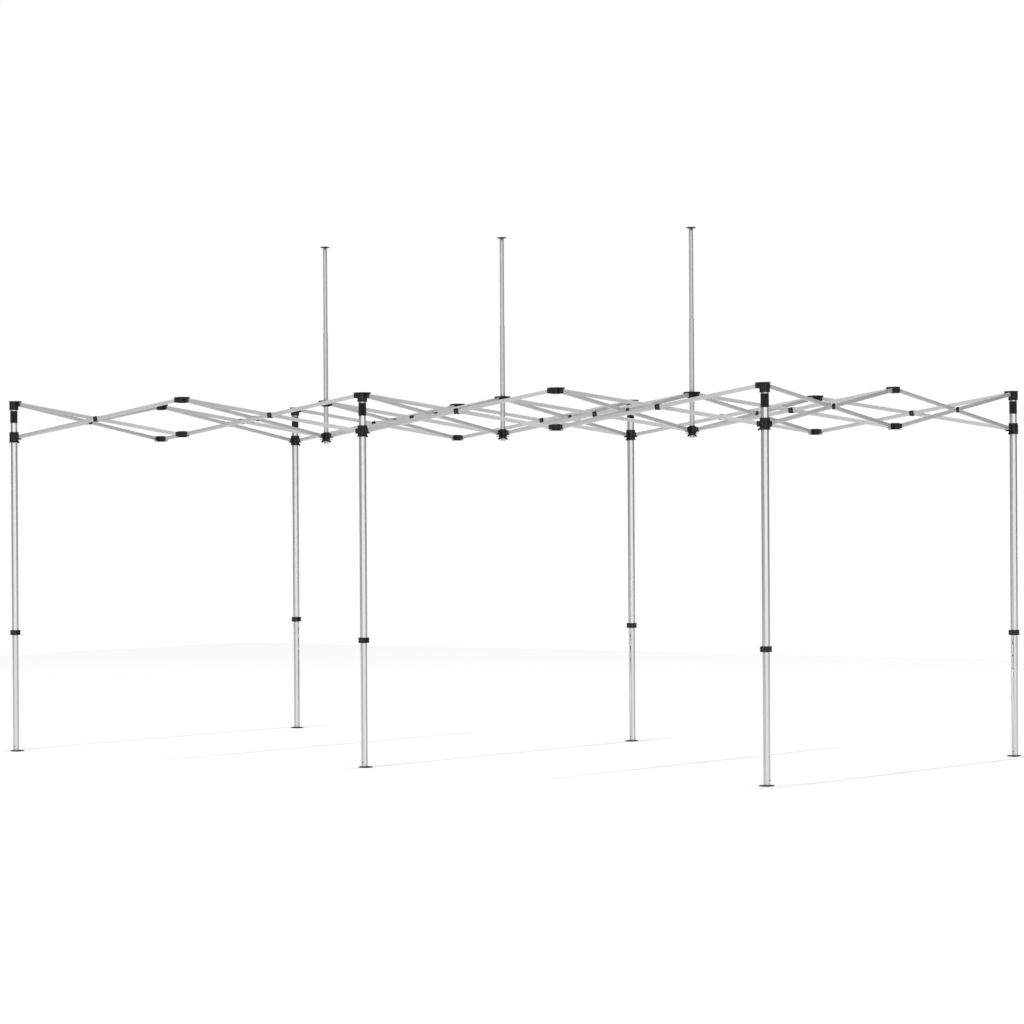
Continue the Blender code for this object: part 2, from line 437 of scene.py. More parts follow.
def metal(name, colour, stretch, roughness, metallic, lines, scuffs, tone=0.06):
    """Extruded aluminium: drawn lines along its length and faint scuffs."""
    material, nodes, links, shader = new_material(name)
    along = own_coordinates(nodes, links, stretch)
    plain = own_coordinates(nodes, links)
    drawn = place_group(nodes, lines, Roughness=roughness, Spread=0.18, Tone=tone)
    links.new(along, drawn.inputs["Vector"])
    rubbed = place_group(nodes, scuffs, Scale=14.0, Amount=0.35)
    links.new(plain, rubbed.inputs["Vector"])
    shaded = nodes.new("ShaderNodeMix")
    shaded.data_type = "RGBA"
    shaded.blend_type = "MULTIPLY"
    shaded.inputs["Factor"].default_value = 1.0
    shaded.inputs["A"].default_value = (*colour, 1)
    links.new(drawn.outputs["Shade"], shaded.inputs["B"])
    worn = nodes.new("ShaderNodeMix")
    worn.data_type = "RGBA"
    worn.inputs["B"].default_value = (*[c * 0.82 for c in colour], 1)
    links.new(shaded.outputs["Result"], worn.inputs["A"])
    links.new(rubbed.outputs["Mask"], worn.inputs["Factor"])
    links.new(worn.outputs["Result"], shader.inputs["Base Color"])
    links.new(drawn.outputs["Roughness"], shader.inputs["Roughness"])
    shader.inputs["Metallic"].default_value = metallic
    add_bump(nodes, links, shader, drawn.outputs["Height"], 0.00005, 0.25)
    return material


def nylon(name, colour, grain, scuffs, roughness=0.55):
    """Glass filled nylon: near black, fine grain, paler where it has been rubbed."""
    material, nodes, links, shader = new_material(name)
    place = own_coordinates(nodes, links)
    fine = place_group(nodes, grain, Scale=1400.0, Roughness=roughness, Spread=0.2)
    links.new(place, fine.inputs["Vector"])
    rubbed = place_group(nodes, scuffs, Scale=60.0, Amount=0.5)
    links.new(place, rubbed.inputs["Vector"])
    colours = nodes.new("ShaderNodeMix")
    colours.data_type = "RGBA"
    colours.inputs["A"].default_value = (*colour, 1)
    colours.inputs["B"].default_value = (*[c * 2.2 + 0.01 for c in colour], 1)
    links.new(rubbed.outputs["Mask"], colours.inputs["Factor"])
    links.new(colours.outputs["Result"], shader.inputs["Base Color"])
    links.new(fine.outputs["Roughness"], shader.inputs["Roughness"])
    add_bump(nodes, links, shader, fine.outputs["Height"], 0.00008, 0.4)
    return material


def plated_steel(name, colour, grain, scuffs, roughness=0.32):
    """Zinc plated or blackened steel for bolts, plates and buttons."""
    material, nodes, links, shader = new_material(name)
    place = own_coordinates(nodes, links)
    fine = place_group(nodes, grain, Scale=500.0, Roughness=roughness, Spread=0.25)
    links.new(place, fine.inputs["Vector"])
    rubbed = place_group(nodes, scuffs, Scale=90.0, Amount=0.6)
    links.new(place, rubbed.inputs["Vector"])
    colours = nodes.new("ShaderNodeMix")
    colours.data_type = "RGBA"
    colours.inputs["A"].default_value = (*colour, 1)
    colours.inputs["B"].default_value = (*[min(1, c * 1.5 + 0.03) for c in colour], 1)
    links.new(rubbed.outputs["Mask"], colours.inputs["Factor"])
    links.new(colours.outputs["Result"], shader.inputs["Base Color"])
    links.new(fine.outputs["Roughness"], shader.inputs["Roughness"])
    shader.inputs["Metallic"].default_value = 1.0
    add_bump(nodes, links, shader, fine.outputs["Height"], 0.00003, 0.3)
    return material


def strap_cloth(name, colour):
    """Woven hook-and-loop tape: a close weave in relief and a soft sheen."""
    material, nodes, links, shader = new_material(name)
    place = nodes.new("ShaderNodeTexCoord")
    waves = []
    for direction in ("Z", "DIAGONAL"):
        wave = nodes.new("ShaderNodeTexWave")
        wave.bands_direction = direction
        wave.inputs["Scale"].default_value = 260.0
        wave.inputs["Distortion"].default_value = 1.5
        links.new(place.outputs["Object"], wave.inputs["Vector"])
        waves.append(wave)
    woven = nodes.new("ShaderNodeMath")
    woven.operation = "MULTIPLY"
    links.new(waves[0].outputs["Fac"], woven.inputs[0])
    links.new(waves[1].outputs["Fac"], woven.inputs[1])
    colours = nodes.new("ShaderNodeMix")
    colours.data_type = "RGBA"
    colours.inputs["A"].default_value = (*[c * 0.6 for c in colour], 1)
    colours.inputs["B"].default_value = (*[c * 1.6 for c in colour], 1)
    links.new(woven.outputs[0], colours.inputs["Factor"])
    links.new(colours.outputs["Result"], shader.inputs["Base Color"])
    shader.inputs["Roughness"].default_value = 0.9
    shader.inputs["Sheen Weight"].default_value = 0.08
    add_bump(nodes, links, shader, woven.outputs[0], 0.0003, 0.6)
    return material


MATERIALS = {}


def materials():
    """All the finishes, made once from the colours in the panel."""
    if not MATERIALS:
        chosen = bpy.context.scene.canopy_colours
        lines, scuffs, grain = drawn_lines_group(), scuffs_group(), grain_group()
        tube, bar = tuple(chosen.tube), tuple(chosen.bar)
        black, plate = tuple(chosen.fittings), tuple(chosen.plate)
        upright = (420, 420, 2.5)
        bright, pole = tuple(c * 0.94 for c in tube), tuple(chosen.pole)
        MATERIALS["tube"] = metal("Satin anodised tube", tube, upright, 0.33, 0.9, lines, scuffs)
        MATERIALS["pole"] = metal("Mill finish pole tube", pole, upright, 0.45, 0.55, lines, scuffs)
        MATERIALS["inner tube"] = metal("Bright inner tube", bright, upright, 0.35, 0.9, lines, scuffs)
        MATERIALS["bar"] = metal("Satin bar", bar, (2.5, 420, 420), 0.42, 0.25, lines, scuffs, 0.05)
        MATERIALS["nylon"] = nylon("Black fitting nylon", black, grain, scuffs)
        MATERIALS["trigger"] = nylon("Trigger nylon", tuple(c * 1.5 for c in black), grain, scuffs, 0.35)
        MATERIALS["bolt"] = plated_steel("Blackened bolt", (0.10, 0.10, 0.105), grain, scuffs)
        MATERIALS["plate"] = plated_steel("Blackened plate", plate, grain, scuffs, 0.5)
        MATERIALS["strap"] = strap_cloth("Strap tape", tuple(c * 0.5 for c in black))
    return MATERIALS


# ---- parts of fittings --------------------------------------------------------
def hex_bolt(shape, x, y0, out, z, material=2):
    """A hexagon head with washer on a face at y0, standing out along +Y or -Y."""
    m = facing(x, y0, z, out)
    shape.turned([(0.0062, 0.0), (0.0062, 0.0007), (0.0058, 0.0009)], 20, material, m)
    shape.prism(circle(0.0050, 6, 0.3), 0.0008, 0.0032, 0.0004, material, m)


def fitting_arm(shape, upper, start, quarter=0):
    """Two rounded cheeks with a bolt, as an arm along X turned by quarter turns."""
    z = PIN_UP if upper else PIN_LOW
    side = BAR_SIDE if upper else -BAR_SIDE
    turn = quarters_about_z(quarter)
    local = Shape()
    tall = 0.0152
    top = HEAD_TOP - 0.002 - z if upper else tall
    outline = [(start, -tall)]
    for k in range(9):
        a = math.radians(-90 + 180 * k / 8)
        reach = PIN_OUT + 0.0112 * math.cos(a) ** 0.6
        outline.append((reach, (top if a > 0 else tall) * math.copysign(abs(math.sin(a)) ** 0.6, a)))
    outline.append((start, top))
    for low in (side - 0.0098, side + 0.0066):
        local.prism(outline, low, low + 0.0032, 0.0005, 0, sideways(0, 0, z))
    for out in (-1, 1):
        # raised round boss and bolt head outside each cheek
        m = facing(PIN_OUT, side + out * 0.0096, z, out)
        local.turned([(0.0092, 0.0), (0.0092, 0.0008), (0.0086, 0.0013)], 20, 0, m)
        hex_bolt(local, PIN_OUT, side + out * 0.0108, out, z, 1)
    # pin between the cheeks
    m = facing(PIN_OUT, side - 0.0085, z, 1)
    local.turned([(0.0029, 0.0), (0.0029, 0.017)], 12, 1, m)
    # stiffening web under the cheeks' roots
    for low, high in ((side - 0.0095, side - 0.0068), (side + 0.0068, side + 0.0095)):
        web = [(start, -tall - 0.004), (start + 0.010, -tall + 0.0005), (start, -tall + 0.0005)]
        if not upper:
            web = [(start, tall - 0.0005), (start + 0.010, tall - 0.0005), (start, tall + 0.004)]
        local.prism(web, low, high, 0.0002, 0, sideways(0, 0, z))
    local.bm.transform(turn)
    data = bpy.data.meshes.new("arm")
    local.bm.to_mesh(data)
    local.bm.free()
    shape.bm.from_mesh(data)
    bpy.data.meshes.remove(data)


def roof_lip(shape, quarter, low, high, start, reach, half, side):
    """A thin tongue over or under an arm."""
    m = quarters_about_z(quarter)
    outline = rounded((reach - start) / 2, half, 0.004, 3, ((reach + start) / 2, side))
    shape.prism(outline, low, high, 0.0006, 0, m)


def head_bracket(arms, name):
    """A leg's top bracket: moulded body, flat top with a lip, and one arm for each bar direction."""
    shape = Shape()
    low = HEAD_LOW - 0.006
    shape.prism(rounded(0.0255, 0.0255, 0.012), low, HEAD_TOP - 0.002, 0.0012)
    shape.prism(rounded(0.0285, 0.0285, 0.010), HEAD_TOP - 0.0045, HEAD_TOP, 0.0012)
    shape.prism(rounded(0.0265, 0.0265, 0.012), low, low + 0.005, 0.0010)
    for quarter in arms:
        fitting_arm(shape, True, 0.020, quarter)
        roof_lip(shape, quarter, *ROOF, 0.020, PIN_OUT + 0.011, 0.0165, BAR_SIDE)
    for quarter in range(4):
        # ribs and a fixing screw on each free face
        if quarter in arms:
            continue
        m = quarters_about_z(quarter)
        for y in (-0.014, 0.0, 0.014):
            rib = rounded(0.0010, 0.0012, 0.0005, 2, (0.0262, y))
            shape.prism(rib, HEAD_LOW + 0.008, HEAD_TOP - 0.006, 0.0004, 0, m)
    for quarter in range(4):
        if quarter not in arms:
            screw = quarters_about_z(quarter) @ outward(0.0258, 0.007, HEAD_LOW + 0.022)
            shape.turned([(0.0042, 0.0), (0.0042, 0.0012), (0.0030, 0.0022), (0.0008, 0.0024)], 16, 1, screw)
            break
    m = materials()
    return shape.mesh(name, [m["nylon"], m["bolt"]])


def trigger(shape, quarter, low, material=2):
    """The stepped release lever under one arm."""
    outline = [
        (0.022, low + 0.012), (0.022, low - 0.004), (0.028, low - 0.006), (0.032, low - 0.013),
        (0.038, low - 0.012), (0.042, low - 0.018), (0.0475, low - 0.0175), (0.0475, low - 0.013),
        (0.043, low - 0.010), (0.040, low - 0.004), (0.034, low - 0.004), (0.031, low + 0.002),
        (0.031, low + 0.012),
    ]
    m = quarters_about_z(quarter) @ sideways(0, -0.0065, 0)
    loops = [[(x, z, y) for x, z in outline] for y in (0.0, 0.013)]
    shape.rings(loops, material, matrix=m)


def slider_sleeve(arms, name):
    """A slider: sleeve with ribs, bottom lip, arms, spring pin and release trigger."""
    shape = Shape()
    hole = octagon(0.0451, 0.004)
    outer = resampled(rounded(0.0255, 0.0255, 0.013, 7), len(hole))
    shape.tube(outer, hole, SLIDER_LOW + 0.002, SLIDER_TOP, 0.0008)
    lip = resampled(rounded(0.0285, 0.0285, 0.012, 7), len(hole))
    shape.tube(lip, hole, SLIDER_LOW, SLIDER_LOW + 0.006, 0.0008)
    shape.tube([(x * 1.03, y * 1.03) for x, y in outer], hole, SLIDER_TOP - 0.007, SLIDER_TOP - 0.001, 0.0006)
    for quarter in arms:
        fitting_arm(shape, False, 0.0232, quarter)
        low, high = PIN_LOW - 0.0186, PIN_LOW - 0.0150
        roof_lip(shape, quarter, low, high, 0.0235, PIN_OUT + 0.009, 0.0140, -BAR_SIDE)
    for quarter in range(4):
        if quarter not in arms:
            m = quarters_about_z(quarter)
            for y in (-0.016, -0.008, 0.008, 0.016):
                rib = rounded(0.0010, 0.0013, 0.0005, 2, (0.0262, y))
                shape.prism(rib, SLIDER_LOW + 0.009, SLIDER_TOP - 0.009, 0.0004, 0, m)
            pin = m @ outward(0.0250, 0, SLIDER_LOW + 0.034)
            shape.turned([(0.0075, 0.0), (0.0075, 0.0018), (0.0068, 0.0025)], 20, 0, pin)
            shape.turned([(0.0042, 0.0015), (0.0042, 0.0034), (0.0034, 0.0043), (0.0012, 0.0047)], 16, 1, pin)
    trigger(shape, arms[len(arms) // 2], SLIDER_LOW + 0.014)
    m = materials()
    return shape.mesh(name, [m["nylon"], m["bolt"], m["trigger"]])


def side_connector(upper, name):
    """A free hanging connector: small moulded block with three arms."""
    shape = Shape()
    if upper:
        low, high = PIN_UP - 0.018, HEAD_TOP
        shape.prism(rounded(0.0215, 0.0215, 0.007), low, high - 0.001, 0.0010)
        shape.prism(rounded(0.0260, 0.0260, 0.007), high - 0.0040, high, 0.0012)
    else:
        low, high = PIN_LOW - 0.022, PIN_LOW + 0.018
        shape.prism(rounded(0.0215, 0.0215, 0.007), low + 0.001, high, 0.0010)
        shape.prism(rounded(0.0260, 0.0260, 0.007), low, low + 0.004, 0.0012)
    for quarter in (0, 1, 2):
        fitting_arm(shape, upper, 0.019, quarter)
        if upper:
            roof_lip(shape, quarter, *ROOF, 0.019, PIN_OUT + 0.006, 0.0130, BAR_SIDE)
        else:
            roof_lip(shape, quarter, low + 0.0004, low + 0.0036, 0.019, PIN_OUT + 0.004, 0.0130, -BAR_SIDE)
    back = quarters_about_z(-1)
    for y in (-0.012, -0.004, 0.004, 0.012):
        rib = rounded(0.0010, 0.0012, 0.0005, 2, (0.0217, y))
        shape.prism(rib, low + 0.007, high - 0.007, 0.0004, 0, back)
    m = materials()
    return shape.mesh(name, [m["nylon"], m["bolt"]])


def pole_hub(upper, name):
    """A four armed hub round a peak pole."""
    shape = Shape()
    count = 32
    bore = circle(0.01625 if upper else 0.0159, count)
    outer = rounded(0.0225, 0.0225, 0.009, 7)
    rim = rounded(0.0265, 0.0265, 0.009, 7)
    low, high = (PIN_UP - 0.020, HEAD_TOP) if upper else (PIN_LOW - 0.026, PIN_LOW + 0.020)
    shape.tube(outer, bore, low, high - 0.0006, 0.0008)
    if upper:
        shape.tube(rim, bore, high - 0.0045, high, 0.0008)
    else:
        shape.tube(rim, bore, low, low + 0.004, 0.0008)
        shape.tube(circle(0.0200, count), bore, high - 0.0005, high + 0.004, 0.0010)
        shape.tube(circle(0.0185, count), bore, low - 0.012, low + 0.001, 0.0010)
    for quarter in range(4):
        fitting_arm(shape, upper, 0.019, quarter)
        if upper:
            roof_lip(shape, quarter, *ROOF, 0.019, PIN_OUT + 0.006, 0.0130, BAR_SIDE)
        else:
            roof_lip(shape, quarter, low + 0.0004, low + 0.0036, 0.019, PIN_OUT + 0.004, 0.0130, -BAR_SIDE)
    if not upper:
        trigger(shape, 3, SLIDER_LOW + 0.010)
        trigger(shape, 1, SLIDER_LOW + 0.010)
    m = materials()
    return shape.mesh(name, [m["nylon"], m["bolt"], m["trigger"]])


# ---- bars ------------------------------------------------------------------------
def bar_mesh(with_pivot, name):
    """A hollow bar along X from the pin at its origin. The one with the pivot carries its blocks and bolt."""
    sizes = bpy.context.scene.canopy_sizes
    h, w, wall = sizes.bar_height / 2, sizes.bar_width / 2, sizes.bar_wall
    shape = Shape()
    lay = Matrix.Rotation(math.pi / 2, 4, "Y")  # drawn Z runs along X, drawn X runs down
    section, hollow = rounded(h, w, 0.0022), rounded(h - wall, w - wall, 0.0012)
    shape.tube(section, hollow, -BAR_END, BAR_LENGTH + BAR_END, 0.0004, 0, lay)
    for x in (0.0, BAR_LENGTH):
        # pressed collars round the bolt holes
        for out in (-1, 1):
            m = facing(x, out * (w - 0.0003), 0, out)
            shape.turned([(0.0056, 0.0), (0.0056, 0.0005), (0.0050, 0.00055)], 20, 2, m)
    if with_pivot:
        middle = BAR_LENGTH / 2
        for y0, y1 in ((-0.0100, -0.0060), (0.0197, 0.0235)):
            block = rounded(0.0165, 0.0175, 0.003)
            shape.prism(block, y0, y1, 0.0009, 1, sideways(middle, 0, 0))
        shape.turned([(0.0030, -0.0110), (0.0030, 0.0240)], 12, 2, facing(middle, 0, 0, 1))
        for y0, out in ((0.0235, 1), (-0.0100, -1)):
            m = facing(middle, y0, 0, out)
            shape.turned([(0.0095, -0.0004), (0.0095, 0.0006), (0.0088, 0.0010)], 24, 1, m)
            hex_bolt(shape, middle, y0 + out * 0.0006, out, 0, 2)
    m = materials()
    return shape.mesh(name, [m["bar"], m["nylon"], m["bolt"]])


def bar_place(i, j, way, falling):
    """Where a bar of the pair from grid place (i, j) along way stands at rest."""
    turn = 0 if way == "x" else 1
    start = (PIN_OUT, BAR_SIDE if falling else -BAR_SIDE, PIN_UP if falling else PIN_LOW)
    return at(i, j, turn) @ Matrix.Translation(start) @ Matrix.Rotation(LEAN if falling else -LEAN, 4, "Y")


# ---- settings -----------------------------------------------------------------------
def length_setting(name, description, default):
    return bpy.props.FloatProperty(
        name=name, description=description, default=default, unit="LENGTH", precision=4
    )


def colour_setting(name, description, default):
    return bpy.props.FloatVectorProperty(
        name=name, description=description, subtype="COLOR", size=3, min=0, max=1, default=default
    )


class CanopySizes(bpy.types.PropertyGroup):
    leg_across: length_setting("Leg width", "Upper leg tube, across flats", 0.044)
    foot_across: length_setting("Lower leg width", "Lower leg tube, across flats", 0.040)
    leg_wall: length_setting("Leg wall", "Wall of the leg tubes", 0.0015)
    bar_height: length_setting("Bar height", "Tall side of a scissor bar", 0.024)
    bar_width: length_setting("Bar width", "Thin side of a scissor bar", 0.012)
    bar_wall: length_setting("Bar wall", "Wall of a scissor bar", 0.0012)
    cap_across: length_setting("Peak cap", "Diameter of the caps on the peak poles", 0.066)


class CanopyColours(bpy.types.PropertyGroup):
    tube: colour_setting("Tubes", "Anodised leg tubes", (0.69, 0.69, 0.695))
    pole: colour_setting("Poles", "Peak pole tubes", (0.55, 0.55, 0.555))
    bar: colour_setting("Bars", "Scissor bars", (0.57, 0.57, 0.575))
    fittings: colour_setting("Fittings", "Moulded brackets, sliders and hubs", (0.005, 0.005, 0.0055))
    plate: colour_setting("Foot plates", "Foot plates", (0.06, 0.06, 0.065))
    floor: colour_setting("Floor", "Studio floor", (0.955, 0.955, 0.955))


# ---- operators ------------------------------------------------------------------------
class CANOPY_OT_upper_legs(bpy.types.Operator):
    """Upper leg tubes with their straps and height-lock collars"""

    bl_idname = "canopy.upper_legs"
    bl_label = "Upper legs"

    def execute(self, context):
        m, sizes = materials(), context.scene.canopy_sizes
        across, wall = sizes.leg_across, sizes.leg_wall
        tube = Shape()
        section, hollow = octagon(across, 0.004), octagon(across - 2 * wall, 0.003)
        tube.tube(section, hollow, COLLAR_LOW + 0.002, HEAD_LOW + 0.010)
        tube_data = tube.mesh("upper_tube", [m["tube"]])
        strap = Shape()
        strap.tube(octagon(0.0472, 0.006), octagon(0.0441, 0.005), STRAP_LOW, STRAP_TOP, 0.0004)
        # the tape's free end lies over its start, with a stitched edge
        flap = rounded(0.0008, 0.0120, 0.0007, 2, (0.0239, 0.0))
        strap.prism(flap, 2.2225, 2.2985, 0.0003)
        for y in (-0.0095, 0.0095):
            stitch = rounded(0.0004, 0.0006, 0.0003, 1, (0.0248, y))
            for k in range(12):
                strap.prism(stitch, 2.226 + k * 0.006, 2.2295 + k * 0.006, 0.0002)
        strap_data = strap.mesh("strap", [m["strap"]])
        collar = Shape()
        bore, mouth = octagon(0.0412, 0.003), octagon(0.0445, 0.003)
        outer = resampled(rounded(0.026, 0.026, 0.007, 7), len(bore))
        rim = [(x * 1.045, y * 1.045) for x, y in outer]
        collar.tube(outer, bore, COLLAR_LOW, COLLAR_TOP, 0.0010)
        collar.tube(rim, bore, COLLAR_LOW + 0.001, COLLAR_LOW + 0.006, 0.0008)
        collar.tube(rim, mouth, COLLAR_TOP - 0.006, COLLAR_TOP - 0.0004, 0.0008)
        lever = [
            (0.024, 0.027), (0.024, 0.008), (0.029, 0.004), (0.036, 0.003), (0.041, 0.007),
            (0.0385, 0.012), (0.034, 0.013), (0.040, 0.022), (0.037, 0.029), (0.030, 0.030),
        ]
        loops = [[(x, z, y) for x, z in lever] for y in (0.0, 0.016)]
        collar.rings(loops, 2, matrix=sideways(0, -0.008, COLLAR_LOW))
        for y in (-0.0262, 0.0262):
            out = 1 if y > 0 else -1
            p = facing(0.006, y * 0.985, COLLAR_LOW + 0.017, out)
            collar.turned([(0.0050, 0.0), (0.0050, 0.0012), (0.0040, 0.0022), (0.0010, 0.0026)], 16, 1, p)
        collar_data = collar.mesh("collar", [m["nylon"], m["bolt"], m["trigger"]])
        for name, (i, j) in LEGS.items():
            body = name + "_upper_leg"
            show(name + "_upper_tube", tube_data, at(i, j), body, "tube_aluminium", body)
            inward = 0 if i < 2 or name == "front_middle" else 2
            show(name + "_strap", strap_data, at(i, j, 3 if j == 0 else 1), body, "black_nylon")
            show(name + "_height_lock", collar_data, at(i, j, inward), body, "black_nylon")
        return {"FINISHED"}


class CANOPY_OT_lower_legs(bpy.types.Operator):
    """Lower leg tubes with height holes, foot plugs and foot plates"""

    bl_idname = "canopy.lower_legs"
    bl_label = "Lower legs"

    def execute(self, context):
        m, sizes = materials(), context.scene.canopy_sizes
        across, wall = sizes.foot_across, sizes.leg_wall
        tube = Shape()
        tube.tube(octagon(across, 0.0035), octagon(across - 2 * wall, 0.0025), 0.013, 1.05)
        data = tube.mesh("lower_tube", [m["inner tube"]])
        holder = bpy.data.objects.new("bored", data)
        context.scene.collection.objects.link(holder)
        drill = Shape()
        for z in HOLE_HEIGHTS:
            drill.turned([(0.0045, 0.010), (0.0045, 0.030)], 20, 0, facing(0, 0, z, 1))
        bit = bpy.data.objects.new("drill", drill.mesh("drill", []))
        context.scene.collection.objects.link(bit)
        cut = holder.modifiers.new("holes", "BOOLEAN")
        cut.operation, cut.solver, cut.object = "DIFFERENCE", "EXACT", bit
        context.view_layer.update()
        bored = bpy.data.meshes.new_from_object(holder.evaluated_get(context.evaluated_depsgraph_get()))
        bpy.data.objects.remove(holder)
        bpy.data.objects.remove(bit)
        foot = Shape()
        foot.prism(octagon(across - 0.001, 0.004), 0.0045, 0.0140, 0.0006, 1)
        foot.prism(octagon(across - 2 * wall - 0.0002, 0.003), 0.013, 0.045, 0.0006, 1)
        foot.prism(rounded(0.035, 0.035, 0.007, 5, (0.005, 0.005)), 0.0, 0.005, 0.0010, 0)
        foot.prism(rounded(0.0235, 0.0235, 0.005, 3), 0.0045, 0.0070, 0.0008, 0)
        for x, y in ((0.031, 0.031), (0.031, -0.020), (-0.020, 0.031)):
            rivet = [(0.0046, 0.0046), (0.0046, 0.0056), (0.0036, 0.0062), (0.0030, 0.0056)]
            foot.turned(rivet, 16, 2, Matrix.Translation((x, y, 0)))
        for out in (-1, 1):
            p = facing(0, out * (across / 2 - 0.0004), 0.031, out)
            foot.turned([(0.0044, 0.0), (0.0044, 0.0010), (0.0036, 0.0018), (0.0012, 0.0021)], 16, 0, p)
        foot_data = foot.mesh("foot", [m["plate"], m["inner tube"], m["bolt"]])
        quarters = {(1, 1): 0, (-1, 1): 1, (-1, -1): 2, (1, -1): 3}
        for name, (i, j) in LEGS.items():
            body = name + "_lower_leg"
            inward_x = 1 if i < 2 or name == "front_middle" else -1
            inward_y = 1 if j == 0 else -1
            holes_face = 3 if name == "rear_left" else 0 if j == 0 else 2
            show(name + "_lower_tube", bored, at(i, j, holes_face), body, "tube_aluminium", body)
            place = at(i, j, quarters[inward_x, inward_y])
            show(name + "_foot_plate", foot_data, place, body, "tube_aluminium")
        return {"FINISHED"}


class CANOPY_OT_leg_fittings(bpy.types.Operator):
    """Top brackets and sliders on the legs"""

    bl_idname = "canopy.leg_fittings"
    bl_label = "Leg brackets and sliders"

    def execute(self, context):
        corner_arms, middle_arms = (0, 1), (0, 1, 2)
        heads = {
            True: head_bracket(corner_arms, "corner_head"),
            False: head_bracket(middle_arms, "middle_head"),
        }
        sleeves = {
            True: slider_sleeve(corner_arms, "corner_slider"),
            False: slider_sleeve(middle_arms, "middle_slider"),
        }
        for name, (i, j) in LEGS.items():
            corner = name in CORNERS
            place = at(i, j, TURNS[name])
            show(name + "_top_bracket", heads[corner], place, name + "_upper_leg", "black_nylon")
            show(name + "_sleeve", sleeves[corner], place, name + "_slider", "black_nylon", name + "_slider")
        return {"FINISHED"}


class CANOPY_OT_connectors(bpy.types.Operator):
    """Free hanging connectors halfway between the legs"""

    bl_idname = "canopy.connectors"
    bl_label = "Side connectors"

    def execute(self, context):
        kinds = {
            "upper": side_connector(True, "upper_connector"),
            "lower": side_connector(False, "lower_connector"),
        }
        for name, (i, j) in SIDES.items():
            for kind, data in kinds.items():
                body = name + "_" + kind + "_connector"
                piece_name = name + "_" + kind + "_tee"
                show(piece_name, data, at(i, j, TURNS[name]), body, "black_nylon", body)
        return {"FINISHED"}


class CANOPY_OT_scissor_bars(bpy.types.Operator):
    """All forty-four scissor bars with their crossing pivots"""

    bl_idname = "canopy.scissor_bars"
    bl_label = "Scissor bars"

    @staticmethod
    def edge_bar(start, data, place):
        show(start + "strut", data, place, start + "bar", "bar_aluminium", start + "bar")

    @staticmethod
    def inner_bar(start, data, place, edge, way, distance):
        """Turns with the edge bar of the same lean, on a mesh of its own."""
        piece = show(start + "strut", data, place, edge + "bar", "bar_aluminium")
        shift(piece)

    def execute(self, context):
        for falling, word in ((True, "_falling_"), (False, "_rising_")):
            data = bar_mesh(not falling, word[1:] + "bar")
            for row, j in (("front_", 0), ("rear_", 2)):
                for k in range(4):
                    self.edge_bar(row + str(k + 1) + word, data, bar_place(k, j, "x", falling))
            for side, i in (("left_", 0), ("right_", 4)):
                for k in range(2):
                    self.edge_bar(side + str(k + 1) + word, data, bar_place(i, k, "y", falling))
            for k in range(4):
                end = str(k + 1) + word
                place = bar_place(k, 1, "x", falling)
                self.inner_bar("centre_" + end, data, place, "front_" + end, (0, -1, 0), GATHER)
            for line, i, side, way, bays in (
                ("left_cross_", 1, "left_", -1, 1),
                ("middle_cross_", 2, "left_", -1, 2),
                ("right_cross_", 3, "right_", 1, 1),
            ):
                for k in range(2):
                    end = str(k + 1) + word
                    place = bar_place(i, k, "y", falling)
                    self.inner_bar(line + end, data, place, side + end, (way, 0, 0), bays * GATHER)
        return {"FINISHED"}


class CANOPY_OT_peak_poles(bpy.types.Operator):
    """Peak poles: hubs, lower tubes, upper tubes and flat caps"""

    bl_idname = "canopy.peak_poles"
    bl_label = "Peak poles"

    def execute(self, context):
        m, sizes = materials(), context.scene.canopy_sizes
        upper, lower = pole_hub(True, "upper_hub"), pole_hub(False, "lower_hub")
        sleeve = Shape()
        sleeve.tube(circle(0.0158, 32), circle(0.0146, 32), POLE_LOW, POLE_TOP, 0.0004)
        sleeve_data = sleeve.mesh("pole_sleeve", [m["pole"]])
        mast = Shape()
        mast.tube(circle(0.0138, 32), circle(0.0124, 32), MAST_LOW, MAST_TOP - 0.0125, 0.0004)
        mast_data = mast.mesh("mast", [m["pole"]])
        cap = Shape()
        r = sizes.cap_across / 2
        profile = [
            (0.0120, -0.040),
            (0.0121, -0.012),
            (0.0150, -0.0112),
            (0.0240, -0.0104),
            (r - 0.003, -0.0092),
            (r - 0.0004, -0.0080),
            (r, -0.0066),
            (r - 0.0012, -0.0052),
            (r * 0.82, -0.0030),
            (r * 0.55, -0.0011),
            (r * 0.25, 0.0),
            (0.001, 0.0),
        ]
        cap.turned(profile, 40)
        # two short catches that hook over the tube's end
        for k in range(2):
            turn = Matrix.Rotation(k * math.pi - 0.9, 4, "Z")
            cap.prism(rounded(0.0013, 0.0034, 0.0008, 2, (0.0153, 0.0)), -0.024, -0.0105, 0.0004, 0, turn)
        cap_data = cap.mesh("peak_cap", [m["nylon"]], 50)
        for name, i in POLES.items():
            node, pole = name + "_inner_scissors", name + "_peak_pole"
            place = at(i, 1)
            show(name + "_upper_hub", upper, place, node, "black_nylon", node)
            low_hub = show(name + "_lower_hub", lower, place, node, "black_nylon")
            shift(low_hub)
            tube = show(name + "_lower_pole_tube", sleeve_data, place, node, "tube_aluminium")
            shift(tube)
            show(name + "_upper_pole_tube", mast_data, place, pole, "tube_aluminium", pole)
            top = place @ Matrix.Translation((0, 0, MAST_TOP))
            show(name + "_peak_cap", cap_data, top, pole, "black_nylon")
        return {"FINISHED"}


